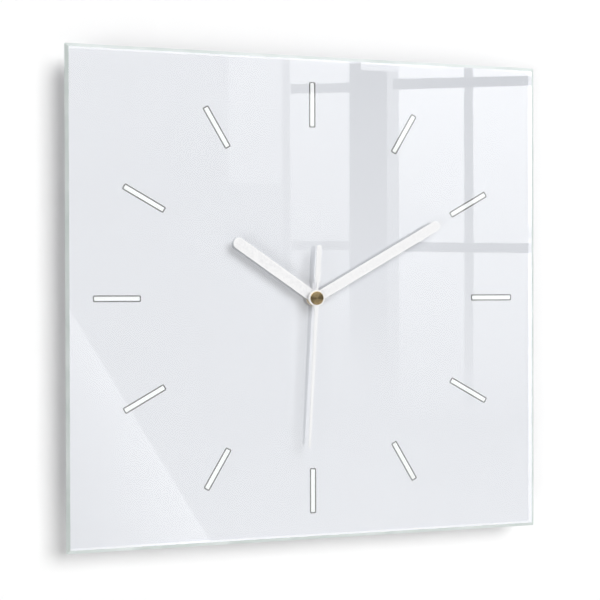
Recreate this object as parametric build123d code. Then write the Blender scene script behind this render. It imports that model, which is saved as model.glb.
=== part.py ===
from build123d import *
from math import acos, cos, pi, radians, sin, tan
import os

# Wall clock with a square glass dial, in millimetres.
# Everything is laid out from the hand axis (x = 0, z = 0) and the wall plane (y = 0).
# The front faces -Y, so a piece nearer the viewer has a lower y. The last step moves
# the origin to the centre of the hanging hole.

CLOSE = 0.001                # places nearer than this count as the same

# Dial
DIAL_SIZE = 300.0            # width and height of the glass
GLASS = 4.0                  # glass thickness
GLASS_CORNER = 0.8           # corners of the sheet, rounded after the bevel is ground
FRONT_BEVEL = 2.4            # ground bevel round the front face
REAR_BEVEL = 0.5
PRINT = 0.1                  # white layer printed on the back of the glass
INK_GAP = 0.02               # keeps the print's face apart from the glass's
PRINT_MARGIN = 0.3           # bare glass between the rear bevel and the print
MARKER_COUNT = 12
MARKER_INNER = 105.9         # hour bars run between these two radii
MARKER_OUTER = 134.1
MARKER_WIDTH = 4.0
MARKER_LINE = 0.75           # width of the dark outline
MARKER_CORNER = 0.9

# Distance pieces that hold the glass off the wall
SPACER_HEIGHT = 19.5
SPACER_RADIUS = 9.0
SPACER_INSET = 25.0          # from the glass edge to the spacer's centre
SPACER_EDGE = 1.0
ADHESIVE = 1.0
ADHESIVE_RADIUS = 8.5

# Movement case
CASE_SIZE = 56.0             # grows if the train, the coil or the cell needs more
CASE_DEPTH = 16.0
CASE_CORNER = 2.5
CASE_WALL = 1.0
CASE_FRONT_WALL = 1.2
FRONT_CASE_DEPTH = 12.0      # the front tray; the rear cover is the rest
LIP = 0.8                    # cover's locating lip
LIP_DEPTH = 1.5
LIP_CLEARANCE = 0.1
LIP_BOTTOM = -9.0            # the lip stops here, above the battery bay
CONTACT_PASSAGE = 0.8        # gap past each end of the bay wall for a contact strip

# Fastening stack through the dial
HANGER = 0.8                 # steel thickness
HANGER_WIDTH = 24.0
HANGER_BELOW = 13.0          # how far the hanger plate reaches below the hand axis
HANGER_BEND = 1.0
HANGING_HOLE_RISE = 40.0     # hanging hole above the hand axis
HANGING_HOLE_RADIUS = 3.0
HANGER_END = 8.0             # steel left above the hanging hole
HANGER_BACK = 0.4            # the hanger's tab lies this far in front of the case's back
RUBBER = 0.5
RUBBER_RADIUS = 10.0
BUSHING_RADIUS = 4.0
BUSHING_FLANGE = 0.7
BUSHING_FLANGE_RADIUS = 6.0
BUSHING_PROUD = 0.6          # thread left in front of the nut
HOLE_CLEARANCE = 0.1         # holes round the bushing
GLASS_HOLE_CLEARANCE = 0.3
WASHER = 0.4
WASHER_RADIUS = 4.9
NUT = 1.6                    # slim ring nut, turned by two slots in its face
NUT_RADIUS = 4.6
NUT_EDGE = 0.2
NUT_SLOT = 1.0
NUT_SLOT_DEPTH = 0.7

# Coaxial shafts
ARBOR_RADIUS = 0.5           # seconds arbor
MINUTE_PIPE_RADIUS = 1.6
HOUR_PIPE_RADIUS = 2.5
RUNNING_CLEARANCE = 0.05
BUSHING_CLEARANCE = 0.1

# Hands: clockwise angle from twelve, length and width
HAND = 0.5                   # sheet thickness
HAND_EDGE = 0.12             # coined edge
HOUR_HAND_GAP = 1.0          # behind each hand
MINUTE_HAND_GAP = 1.2
SECOND_TUBE = 1.0
PIPE_PROUD = 0.25            # how far a pipe stands out of its hand
TUBE_GAP = 0.25
HOUR_ANGLE = 305.0
HOUR_REACH = 61.5
HOUR_WIDTH = 7.0
HOUR_EYE = 4.7
MINUTE_ANGLE = 60.0
MINUTE_REACH = 93.6
MINUTE_WIDTH = 6.2
MINUTE_EYE = 4.9
SECOND_ANGLE = 183.0
SECOND_REACH = 92.0
SECOND_HAND = 0.4
SECOND_ROOT_WIDTH = 2.3
SECOND_TIP_WIDTH = 1.3
SECOND_EYE = 5.1
NECK_WIDTH = 1.3
TAIL_START = 9.6
TAIL_REACH = 32.6
TAIL_WIDTH = 3.0
TAIL_CORNER = 0.5
SECOND_TUBE_RADIUS = 1.2
CAP = 0.6
CAP_RADIUS = 4.1
CAP_EDGE = 0.2

# Gear train. Each wheel has its own level, counted from the dial side.
WHEEL = 1.1
LEVEL_START = 0.6
LEVEL_GAP = 0.45
BRIDGE_START = 10.0
BRIDGE = 1.2
PRESSURE_ANGLE = 25.0
ADDENDUM = 0.75              # in modules
DEDENDUM = 1.05
BACKLASH = 0.1               # share of a tooth's width
HOUR_WHEEL_TEETH = 40
SETTING_PINION_TEETH = 10
INTERMEDIATE_TEETH = 36
CANNON_TEETH = 12
CENTRE_TEETH = 64
THIRD_PINION_TEETH = 8
THIRD_TEETH = 60
SECONDS_PINION_TEETH = 8
SECONDS_TEETH = 60
FIFTH_PINION_TEETH = 10
FIFTH_TEETH = 60
ROTOR_PINION_TEETH = 12
THIRD_DISTANCE = 9.54        # from the hand axis to the third wheel's
THIRD_DIRECTION = -10.0      # degrees from +X towards +Z
INTERMEDIATE_DIRECTION = 180.0
FIFTH_DIRECTION = 75.0
ROTOR_DISTANCE = 7.92        # from the fifth wheel's axis
ROTOR_DIRECTION = -5.0
FIFTH_ROOM = 0.37            # room between the centre wheel's teeth and each arbor beside it
INTERMEDIATE_ROOM = 0.72
WHEEL_ROOM = 0.67            # room between the third wheel's teeth and the coil or the bay
ARBOR = 0.4                  # radius of the plastic arbors
PIVOT = 0.3
PIVOT_DEPTH = 0.8
PIVOT_BOSS = 1.2
PIVOT_BOSS_HEIGHT = 0.4
PIVOT_CLEARANCE = 0.04
SETTING_ARBOR = 0.6
SETTING_HUB = 1.2            # joins the intermediate wheel to its pinion
HUB = 0.35                   # plastic round an arbor where a magnet or pinion sits

# Motor
MAGNET_RADIUS = 2.2
MAGNET_START = 2.7
MAGNET = 2.2
AIR_GAP = 0.4
POLE = 1.5                   # stator metal round the rotor
STATOR_START = 3.3
STATOR = 1.0
ARM_WIDTH = 3.0              # no wider than CORE_END, so the arms stay clear of the coil
ARM_GAP = 0.6
COIL_LENGTH = 18.0
COIL_FLANGE = 7.0
COIL_FLANGE_THICKNESS = 0.8
COIL_RADIUS = 3.2
CORE_WIDTH = 3.0
CORE = 0.8
CORE_END = 3.0
BOBBIN_WALL = 0.6
CORE_CLEARANCE = 0.05

# Electronics
BOARD_START = 2.0
BOARD = 0.8
BOARD_HEIGHT = 5.2
BOARD_MARGIN = 0.5           # gap to the case
BOARD_POST = 1.2
BOARD_POST_SPACING = 17.0
CHIP_X = -16.0
CHIP_RADIUS = 2.3
CHIP = 1.1
CHIP_ROUNDING = 0.9
CRYSTAL_X = -7.0
CRYSTAL_RADIUS = 1.0
CRYSTAL_LENGTH = 6.0

# Battery, size AA, and its contacts
CELL_RADIUS = 7.25
CELL_LENGTH = 49.3
CELL_EDGE = 0.8
NUB_RADIUS = 2.75
NUB = 1.1
CELL_CLEARANCE = 0.15
BAY_WALL = 1.2
CONTACT = 0.3
CONTACT_WALL_GAP = 0.05
CONTACT_START = 0.5          # contact strips, counted in depth from the case's front wall
CONTACT_WIDTH = 4.5
TONGUE_WIDTH = 4.2           # the sprung tongue on the negative side
TAB_LENGTH = 2.6             # the tab soldered to the board
TAB_INSET = 1.3
PAD_RADIUS = 2.2             # raised pad behind the nub

# Supports
PILLAR_RADIUS = 1.8
PILLAR_PIN = 1.0
PILLAR_PIN_CLEARANCE = 0.04
PILLAR_PIN_PROUD = 0.2
STRIP_ROOM = 1.3             # beside the coil, for the positive contact strip
BRIDGE_LEFT_ROOM = 4.0       # from the case wall to the bridge
BRIDGE_RIGHT_ROOM = 3.4
BRIDGE_BOTTOM_ROOM = 0.6     # from the battery bay
BRIDGE_TOP_ROOM = 0.5        # from the circuit board
BRIDGE_CORNER = 2.0
LEFT_PILLAR = (2.5, 3.4)     # in from the bridge's lower left corner
RIGHT_PILLAR = (3.3, 2.4)    # in from its lower right corner
TOP_LEFT_PILLAR = (11.0, 3.8)
TOP_RIGHT_PILLAR = (18.0, 2.5)
KNOB_RADIUS = 4.5
KNOB = 1.8
KNOB_EDGE = 0.3
KNOB_GAP = 0.2
KNOB_HUB = 1.6
KNOB_FLUTES = 18
KNOB_FLUTE_RADIUS = 0.45
KNOB_CLEARANCE = 0.15

# Depths worked out from the sizes above
PRINT_REAR = -(SPACER_HEIGHT + ADHESIVE)
PRINT_FRONT = PRINT_REAR - PRINT
GLASS_REAR = PRINT_FRONT - INK_GAP
GLASS_FRONT = GLASS_REAR - GLASS
CASE_FRONT = PRINT_REAR + RUBBER + HANGER
CASE_INSIDE = CASE_FRONT + CASE_FRONT_WALL
CASE_BACK = CASE_FRONT + CASE_DEPTH
CASE_SPLIT = CASE_FRONT + FRONT_CASE_DEPTH
NUT_REAR = GLASS_FRONT - WASHER
BUSHING_END = NUT_REAR - NUT - BUSHING_PROUD
HOUR_HAND_REAR = BUSHING_END - HOUR_HAND_GAP
MINUTE_HAND_REAR = HOUR_HAND_REAR - HAND - MINUTE_HAND_GAP
TUBE_REAR = MINUTE_HAND_REAR - HAND - PIPE_PROUD - TUBE_GAP
SECOND_HAND_REAR = TUBE_REAR - SECOND_TUBE
SECOND_HAND_FRONT = SECOND_HAND_REAR - SECOND_HAND
HANGER_TAB_FRONT = CASE_BACK - HANGER_BACK - HANGER
def module_for(distance, teeth, other_teeth):
    """The module that sets two meshing gears this far apart."""
    return 2 * distance / (teeth + other_teeth)


def tip_radius(teeth, module):
    """Radius over the tips of a gear's teeth."""
    return module * (teeth / 2 + ADDENDUM)


def polar(distance, direction, x=0.0, z=0.0):
    """The point at a distance and direction (degrees from +X towards +Z) from x, z."""
    return x + distance * cos(radians(direction)), z + distance * sin(radians(direction))


# Axes and modules of the gear train, worked out from the third wheel's distance
CENTRE_MODULE = module_for(THIRD_DISTANCE, CENTRE_TEETH, THIRD_PINION_TEETH)
THIRD_MODULE = module_for(THIRD_DISTANCE, THIRD_TEETH, SECONDS_PINION_TEETH)
CENTRE_TIP = tip_radius(CENTRE_TEETH, CENTRE_MODULE)
THIRD_TIP = tip_radius(THIRD_TEETH, THIRD_MODULE)
FIFTH_DISTANCE = CENTRE_TIP + FIFTH_ROOM + ARBOR
INTERMEDIATE_DISTANCE = CENTRE_TIP + INTERMEDIATE_ROOM + SETTING_ARBOR
SECONDS_MODULE = module_for(FIFTH_DISTANCE, SECONDS_TEETH, FIFTH_PINION_TEETH)
FIFTH_MODULE = module_for(ROTOR_DISTANCE, FIFTH_TEETH, ROTOR_PINION_TEETH)
MOTION_MODULE = module_for(INTERMEDIATE_DISTANCE, HOUR_WHEEL_TEETH, SETTING_PINION_TEETH)
CANNON_MODULE = module_for(INTERMEDIATE_DISTANCE, INTERMEDIATE_TEETH, CANNON_TEETH)
INTERMEDIATE_AXIS = polar(INTERMEDIATE_DISTANCE, INTERMEDIATE_DIRECTION)
THIRD_AXIS = polar(THIRD_DISTANCE, THIRD_DIRECTION)
FIFTH_AXIS = polar(FIFTH_DISTANCE, FIFTH_DIRECTION)
ROTOR_AXIS = polar(ROTOR_DISTANCE, ROTOR_DIRECTION, *FIFTH_AXIS)

# The case, as large as its contents need, and what is placed from its walls
COIL_X = THIRD_AXIS[0] + THIRD_TIP + WHEEL_ROOM + COIL_FLANGE / 2
RIGHT_REACH = COIL_X + COIL_FLANGE / 2 + STRIP_ROOM + CASE_WALL
BAY_HEIGHT = 2 * (CELL_RADIUS + CELL_CLEARANCE)
LOW_REACH = THIRD_TIP - THIRD_AXIS[1] + WHEEL_ROOM + BAY_WALL + BAY_HEIGHT + CASE_WALL
CELL_REACH = CELL_LENGTH / 2 + NUB + CONTACT + CONTACT_WALL_GAP + CASE_WALL
HALF_CASE = max(CASE_SIZE / 2, RIGHT_REACH, LOW_REACH, CELL_REACH)
INNER_HALF = HALF_CASE - CASE_WALL
CELL_Z = -INNER_HALF + CELL_CLEARANCE + CELL_RADIUS
CELL_Y = CASE_INSIDE + CELL_CLEARANCE + CELL_RADIUS
BAY_TOP = CELL_Z + CELL_RADIUS + CELL_CLEARANCE
BAY_END = INNER_HALF - CONTACT_PASSAGE
BOARD_TOP = INNER_HALF - BOARD_MARGIN
BOARD_BOTTOM = BOARD_TOP - BOARD_HEIGHT
BOARD_Z = (BOARD_TOP + BOARD_BOTTOM) / 2
BRIDGE_LEFT = BRIDGE_LEFT_ROOM - INNER_HALF
BRIDGE_RIGHT = INNER_HALF - BRIDGE_RIGHT_ROOM
BRIDGE_BOTTOM = BAY_TOP + BAY_WALL + BRIDGE_BOTTOM_ROOM
BRIDGE_TOP = BOARD_BOTTOM - BRIDGE_TOP_ROOM
PILLARS = [
    (BRIDGE_LEFT + LEFT_PILLAR[0], BRIDGE_BOTTOM + LEFT_PILLAR[1]),
    (BRIDGE_RIGHT - RIGHT_PILLAR[0], BRIDGE_BOTTOM + RIGHT_PILLAR[1]),
    (BRIDGE_LEFT + TOP_LEFT_PILLAR[0], BRIDGE_TOP - TOP_LEFT_PILLAR[1]),
    (BRIDGE_RIGHT - TOP_RIGHT_PILLAR[0], BRIDGE_TOP - TOP_RIGHT_PILLAR[1]),
]
CENTRE_AXIS = (0.0, 0.0)


def depth(distance):
    """The y of a point this far behind the inside of the case's front wall."""
    return CASE_INSIDE + distance


def level(number):
    """Rear and front y of a wheel on this level, level 0 being next to the dial."""
    start = LEVEL_START + number * (WHEEL + LEVEL_GAP)
    return depth(start + WHEEL), depth(start)


def facing(x, y, z):
    """A plane that faces the viewer, with its own x along +X and its own y along +Z."""
    return Plane(origin=(x, y, z), x_dir=(1, 0, 0), z_dir=(0, -1, 0))


def prism(sketch, rear, front, at=CENTRE_AXIS):
    """A flat outline, seen from the front, made solid between two y values."""
    return extrude(facing(at[0], rear, at[1]) * sketch, amount=rear - front)


def rod(radius, rear, front, at=CENTRE_AXIS):
    return prism(Circle(radius), rear, front, at)


def tube(outer, inner, rear, front, at=CENTRE_AXIS):
    return prism(Circle(outer) - Circle(inner), rear, front, at)


def slab(x_range, y_range, z_range):
    """A box between two x, two y and two z values."""
    sizes = [high - low for low, high in (x_range, y_range, z_range)]
    middle = [(low + high) / 2 for low, high in (x_range, y_range, z_range)]
    return Pos(*middle) * Box(*sizes)


def edges_along_y(shape):
    return shape.edges().filter_by(Axis.Y)


def edges_at(shape, y):
    """The edges that lie wholly in the plane at this y."""
    return shape.edges().filter_by_position(Axis.Y, y - CLOSE, y + CLOSE)


# ---- Dial: glass, print, hour bars -------------------------------------------------

def glass_pane():
    pane = slab((-DIAL_SIZE / 2, DIAL_SIZE / 2), (GLASS_FRONT, GLASS_REAR),
                (-DIAL_SIZE / 2, DIAL_SIZE / 2))
    pane = chamfer(edges_at(pane, GLASS_FRONT), FRONT_BEVEL)
    flat = edges_at(pane, GLASS_FRONT) + edges_at(pane, GLASS_REAR)
    inner = DIAL_SIZE / 2 - FRONT_BEVEL - CLOSE
    corners = [edge for edge in pane.edges() if edge not in flat
               and min(abs(edge.center().X), abs(edge.center().Z)) > inner]
    pane = fillet(corners, GLASS_CORNER)
    pane = chamfer(edges_at(pane, GLASS_REAR), REAR_BEVEL)
    return pane - rod(BUSHING_RADIUS + GLASS_HOLE_CLEARANCE, GLASS_REAR, GLASS_FRONT)


def hour_bars(inset):
    """The twelve radial bar outlines, shrunk on every side by inset."""
    length = MARKER_OUTER - MARKER_INNER - 2 * inset
    bar = RectangleRounded(length, MARKER_WIDTH - 2 * inset, MARKER_CORNER - inset)
    bar = Pos((MARKER_INNER + MARKER_OUTER) / 2, 0) * bar
    step = 360 / MARKER_COUNT
    return [Rot(0, 0, step * number) * bar for number in range(MARKER_COUNT)]


def dial_print():
    side = DIAL_SIZE - 2 * (REAR_BEVEL + PRINT_MARGIN)
    ground = Rectangle(side, side) - Circle(BUSHING_RADIUS + GLASS_HOLE_CLEARANCE)
    return prism(ground - hour_bars(0.0), PRINT_REAR, PRINT_FRONT)


def marker_outlines():
    rings = [outer - inner for outer, inner in zip(hour_bars(0.0), hour_bars(MARKER_LINE))]
    return Compound([prism(ring, PRINT_REAR, PRINT_FRONT).solid() for ring in rings])


def marker_fills():
    fills = hour_bars(MARKER_LINE)
    return Compound([prism(fill, PRINT_REAR, PRINT_FRONT).solid() for fill in fills])


# ---- Distance pieces ---------------------------------------------------------------

def spacer_places():
    reach = DIAL_SIZE / 2 - SPACER_INSET
    return {"upper_left": (-reach, reach), "upper_right": (reach, reach),
            "lower_left": (-reach, -reach), "lower_right": (reach, -reach)}


def wall_spacer(at):
    body = rod(SPACER_RADIUS, 0.0, -SPACER_HEIGHT, at)
    return chamfer(edges_at(body, 0.0), SPACER_EDGE)


def spacer_adhesives():
    discs = [rod(ADHESIVE_RADIUS, -SPACER_HEIGHT, PRINT_REAR, at)
             for at in spacer_places().values()]
    return Compound([disc.solid() for disc in discs])


# ---- Gear teeth --------------------------------------------------------------------

def involute(angle):
    return tan(angle) - angle


def tooth_half_angle(radius, teeth, module):
    """Half the angle that one tooth fills at this radius."""
    pressure = radians(PRESSURE_ANGLE)
    base = teeth * module / 2 * cos(pressure)
    here = acos(base / radius) if radius > base else 0.0
    at_pitch = pi / (2 * teeth) * (1 - BACKLASH)
    return at_pitch + involute(pressure) - involute(here)


def gear_face(teeth, module, aim):
    """Toothed outline with involute flanks. One tooth is centred on the direction aim."""
    pitch = teeth * module / 2
    root = pitch - DEDENDUM * module
    tip = pitch + ADDENDUM * module
    start = max(root, pitch * cos(radians(PRESSURE_ANGLE)))
    middle = (start + tip) / 2
    edges = []

    def point(radius, angle):
        return Vector(radius * cos(angle), radius * sin(angle))

    for number in range(teeth):
        centre = radians(aim) + 2 * pi * number / teeth
        following = centre + 2 * pi / teeth
        low, mid, high = [tooth_half_angle(r, teeth, module) for r in (start, middle, tip)]
        if start > root:
            edges.append(Line(point(root, centre - low), point(start, centre - low)))
        edges.append(ThreePointArc(point(start, centre - low), point(middle, centre - mid),
                                   point(tip, centre - high)))
        edges.append(ThreePointArc(point(tip, centre - high), point(tip, centre),
                                   point(tip, centre + high)))
        edges.append(ThreePointArc(point(tip, centre + high), point(middle, centre + mid),
                                   point(start, centre + low)))
        if start > root:
            edges.append(Line(point(start, centre + low), point(root, centre + low)))
        edges.append(Line(point(root, centre + low), point(root, following - low)))
    return make_face(edges)


def teeth_on(number, teeth, module, aim, at, bore=None):
    """The toothed disc of one gear on its level, with a bore where it has one."""
    rear, front = level(number)
    face = gear_face(teeth, module, aim)
    return prism(face - Circle(bore) if bore else face, rear, front, at)


def gap_towards(direction, teeth):
    """Where to aim a tooth so that a gap faces this direction."""
    return direction + 180 / teeth


# ---- Gear train --------------------------------------------------------------------

def plain_arbor(at):
    """A plastic arbor from the front wall's pivot hole to the bridge's."""
    front = depth(PIVOT_BOSS_HEIGHT + PIVOT_CLEARANCE)
    rear = depth(BRIDGE_START - PIVOT_CLEARANCE)
    tip = depth(PIVOT_BOSS_HEIGHT - PIVOT_DEPTH + PIVOT_CLEARANCE)
    return rod(ARBOR, rear, front, at) + rod(PIVOT, depth(BRIDGE_START + PIVOT_DEPTH), tip, at)


def hour_wheel():
    bore = MINUTE_PIPE_RADIUS + RUNNING_CLEARANCE
    wheel = teeth_on(0, HOUR_WHEEL_TEETH, MOTION_MODULE, INTERMEDIATE_DIRECTION,
                     CENTRE_AXIS, bore)
    pipe_end = HOUR_HAND_REAR - HAND - PIPE_PROUD
    return wheel + tube(HOUR_PIPE_RADIUS, bore, level(0)[1], pipe_end)


def minute_pipe():
    """Pipe with the cannon pinion moulded round it; the centre wheel grips its rear end."""
    bore = ARBOR_RADIUS + RUNNING_CLEARANCE
    pinion = teeth_on(1, CANNON_TEETH, CANNON_MODULE, INTERMEDIATE_DIRECTION,
                      CENTRE_AXIS, bore)
    pipe_end = MINUTE_HAND_REAR - HAND - PIPE_PROUD
    return pinion + tube(MINUTE_PIPE_RADIUS, bore, level(2)[0], pipe_end)


def intermediate_wheel():
    back = INTERMEDIATE_DIRECTION + 180
    wheel = teeth_on(1, INTERMEDIATE_TEETH, CANNON_MODULE,
                     gap_towards(back, INTERMEDIATE_TEETH), INTERMEDIATE_AXIS)
    pinion = teeth_on(0, SETTING_PINION_TEETH, MOTION_MODULE,
                      gap_towards(back, SETTING_PINION_TEETH), INTERMEDIATE_AXIS)
    core = rod(SETTING_HUB, level(1)[1], level(0)[0], INTERMEDIATE_AXIS)
    front = depth(PIVOT_BOSS_HEIGHT + PIVOT_CLEARANCE)
    tip = depth(PIVOT_BOSS_HEIGHT - PIVOT_DEPTH + PIVOT_CLEARANCE)
    arbor = rod(SETTING_ARBOR, CASE_BACK + KNOB_GAP, front, INTERMEDIATE_AXIS)
    pivot = rod(PIVOT, front, tip, INTERMEDIATE_AXIS)
    return wheel + pinion + core + arbor + pivot


def setting_knob():
    """Fluted knob pressed on the intermediate arbor; turning it sets the time."""
    disc = rod(KNOB_RADIUS, CASE_BACK + KNOB_GAP + KNOB, CASE_BACK + KNOB_GAP, INTERMEDIATE_AXIS)
    disc = chamfer(edges_at(disc, CASE_BACK + KNOB_GAP + KNOB), KNOB_EDGE)
    flute = Pos(KNOB_RADIUS, 0) * Circle(KNOB_FLUTE_RADIUS)
    flutes = [Rot(0, 0, 360 / KNOB_FLUTES * number) * flute for number in range(KNOB_FLUTES)]
    for cut in flutes:
        disc -= prism(cut, CASE_BACK + KNOB_GAP + KNOB, CASE_BACK + KNOB_GAP, INTERMEDIATE_AXIS)
    hub_front = CASE_BACK - CASE_WALL - KNOB_GAP
    return disc + tube(KNOB_HUB, SETTING_ARBOR, CASE_BACK + KNOB_GAP, hub_front,
                       INTERMEDIATE_AXIS)


def centre_wheel():
    return teeth_on(2, CENTRE_TEETH, CENTRE_MODULE, gap_towards(THIRD_DIRECTION, CENTRE_TEETH),
                    CENTRE_AXIS, MINUTE_PIPE_RADIUS)


def third_wheel():
    back = THIRD_DIRECTION + 180
    wheel = teeth_on(3, THIRD_TEETH, THIRD_MODULE, back, THIRD_AXIS)
    pinion = teeth_on(2, THIRD_PINION_TEETH, CENTRE_MODULE, back, THIRD_AXIS)
    hub = rod(ARBOR + HUB, level(3)[1], level(2)[0], THIRD_AXIS)
    return wheel + pinion + hub + plain_arbor(THIRD_AXIS)


def seconds_wheel():
    pinion = teeth_on(3, SECONDS_PINION_TEETH, THIRD_MODULE,
                      gap_towards(THIRD_DIRECTION, SECONDS_PINION_TEETH),
                      CENTRE_AXIS, ARBOR_RADIUS)
    wheel = teeth_on(4, SECONDS_TEETH, SECONDS_MODULE, gap_towards(FIFTH_DIRECTION, SECONDS_TEETH),
                     CENTRE_AXIS, ARBOR_RADIUS)
    return wheel + pinion + tube(ARBOR_RADIUS + HUB, ARBOR_RADIUS, level(4)[1], level(3)[0])


def seconds_arbor():
    return rod(ARBOR_RADIUS, depth(BRIDGE_START + BRIDGE), SECOND_HAND_FRONT)


def fifth_wheel():
    pinion = teeth_on(4, FIFTH_PINION_TEETH, SECONDS_MODULE, FIFTH_DIRECTION + 180, FIFTH_AXIS)
    wheel = teeth_on(5, FIFTH_TEETH, FIFTH_MODULE, gap_towards(ROTOR_DIRECTION, FIFTH_TEETH),
                     FIFTH_AXIS)
    hub = rod(ARBOR + HUB, level(5)[1], level(4)[0], FIFTH_AXIS)
    return wheel + pinion + hub + plain_arbor(FIFTH_AXIS)


def rotor_pinion():
    pinion = teeth_on(5, ROTOR_PINION_TEETH, FIFTH_MODULE, ROTOR_DIRECTION + 180, ROTOR_AXIS)
    hub = rod(ARBOR + HUB, depth(MAGNET_START + MAGNET), depth(MAGNET_START), ROTOR_AXIS)
    return pinion + hub + plain_arbor(ROTOR_AXIS)


def rotor_magnet():
    return tube(MAGNET_RADIUS, ARBOR + HUB, depth(MAGNET_START + MAGNET), depth(MAGNET_START),
                ROTOR_AXIS)


# ---- Hands -------------------------------------------------------------------------

def bar_with_round_end(width, start, reach):
    """A straight bar along +Z from start, ending in a half circle at reach."""
    length = reach - width / 2 - start
    bar = Pos(0, start + length / 2) * Rectangle(width, length)
    return bar + Pos(0, reach - width / 2) * Circle(width / 2)


def stamp(outline, thickness, rear, angle):
    """Sheet-metal hand turned clockwise from twelve, with a coined front edge."""
    blank = prism(Rot(0, 0, -angle) * outline, rear, rear - thickness)
    return chamfer(edges_at(blank, rear - thickness), HAND_EDGE)


def hour_hand():
    outline = bar_with_round_end(HOUR_WIDTH, 0.0, HOUR_REACH) + Circle(HOUR_EYE)
    return stamp(outline, HAND, HOUR_HAND_REAR, HOUR_ANGLE) - rod(
        HOUR_PIPE_RADIUS, HOUR_HAND_REAR, HOUR_HAND_REAR - HAND)


def minute_hand():
    outline = bar_with_round_end(MINUTE_WIDTH, 0.0, MINUTE_REACH) + Circle(MINUTE_EYE)
    return stamp(outline, HAND, MINUTE_HAND_REAR, MINUTE_ANGLE) - rod(
        MINUTE_PIPE_RADIUS, MINUTE_HAND_REAR, MINUTE_HAND_REAR - HAND)


def second_hand():
    shoulder = SECOND_REACH - SECOND_TIP_WIDTH / 2
    needle = Polygon((-SECOND_ROOT_WIDTH / 2, 0), (SECOND_ROOT_WIDTH / 2, 0),
                     (SECOND_TIP_WIDTH / 2, shoulder), (-SECOND_TIP_WIDTH / 2, shoulder),
                     align=None)
    point = Pos(0, shoulder) * Circle(SECOND_TIP_WIDTH / 2)
    tail = Rot(0, 0, 180) * bar_with_round_end(TAIL_WIDTH, TAIL_START, TAIL_REACH)
    inner_end = tail.vertices().sort_by(Axis.Y)[-2:]
    tail = fillet(inner_end, TAIL_CORNER)
    neck = Pos(0, -(TAIL_START + TAIL_CORNER) / 2) * Rectangle(NECK_WIDTH, TAIL_START + TAIL_CORNER)
    outline = needle + point + neck + tail + Circle(SECOND_EYE)
    return stamp(outline, SECOND_HAND, SECOND_HAND_REAR, SECOND_ANGLE) - rod(
        ARBOR_RADIUS, SECOND_HAND_REAR, SECOND_HAND_FRONT)


def second_hand_tube():
    return tube(SECOND_TUBE_RADIUS, ARBOR_RADIUS, TUBE_REAR, SECOND_HAND_REAR)


def second_hand_cap():
    cap = rod(CAP_RADIUS, SECOND_HAND_FRONT, SECOND_HAND_FRONT - CAP)
    return chamfer(edges_at(cap, SECOND_HAND_FRONT - CAP), CAP_EDGE)


# ---- Fastening through the dial ----------------------------------------------------

def threaded_bushing():
    bore = HOUR_PIPE_RADIUS + BUSHING_CLEARANCE
    flange = tube(BUSHING_FLANGE_RADIUS, bore, CASE_INSIDE, CASE_INSIDE - BUSHING_FLANGE)
    return flange + tube(BUSHING_RADIUS, bore, CASE_INSIDE, BUSHING_END)


def rubber_washer():
    return tube(RUBBER_RADIUS, BUSHING_RADIUS + HOLE_CLEARANCE, PRINT_REAR + RUBBER, PRINT_REAR)


def nylon_washer():
    return tube(WASHER_RADIUS, BUSHING_RADIUS + HOLE_CLEARANCE, GLASS_FRONT, NUT_REAR)


def ring_nut():
    face = NUT_REAR - NUT
    nut = chamfer(edges_at(rod(NUT_RADIUS, NUT_REAR, face), face), NUT_EDGE)
    nut -= slab((-NUT_RADIUS, NUT_RADIUS), (face, face + NUT_SLOT_DEPTH),
                (-NUT_SLOT / 2, NUT_SLOT / 2))
    return nut - rod(BUSHING_RADIUS, NUT_REAR, face)


def hanger():
    """Steel plate clamped under the movement, bent back over it, with the hanging hole."""
    half = HANGER_WIDTH / 2
    shelf = HALF_CASE + HANGER_BEND
    plate_rear = PRINT_REAR + RUBBER + HANGER
    tab_rear = HANGER_TAB_FRONT + HANGER
    top = HANGING_HOLE_RISE + HANGING_HOLE_RADIUS + HANGER_END
    plate = slab((-half, half), (plate_rear - HANGER, plate_rear), (-HANGER_BELOW, shelf + HANGER))
    bridge = slab((-half, half), (plate_rear - HANGER, tab_rear), (shelf, shelf + HANGER))
    tab = slab((-half, half), (HANGER_TAB_FRONT, tab_rear), (shelf, top))
    plate -= rod(BUSHING_RADIUS + HOLE_CLEARANCE, plate_rear, plate_rear - HANGER)
    tab = fillet(edges_along_y(tab).group_by(Axis.Z)[-1], HANGER_END)
    tab -= rod(HANGING_HOLE_RADIUS, tab_rear, HANGER_TAB_FRONT, (0.0, HANGING_HOLE_RISE))
    return plate + bridge + tab


# ---- Movement case -----------------------------------------------------------------

def case_block(y_front, y_rear, grow=0.0):
    reach = HALF_CASE + grow
    block = slab((-reach, reach), (y_front, y_rear), (-reach, reach))
    return fillet(edges_along_y(block), CASE_CORNER + grow)


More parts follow.
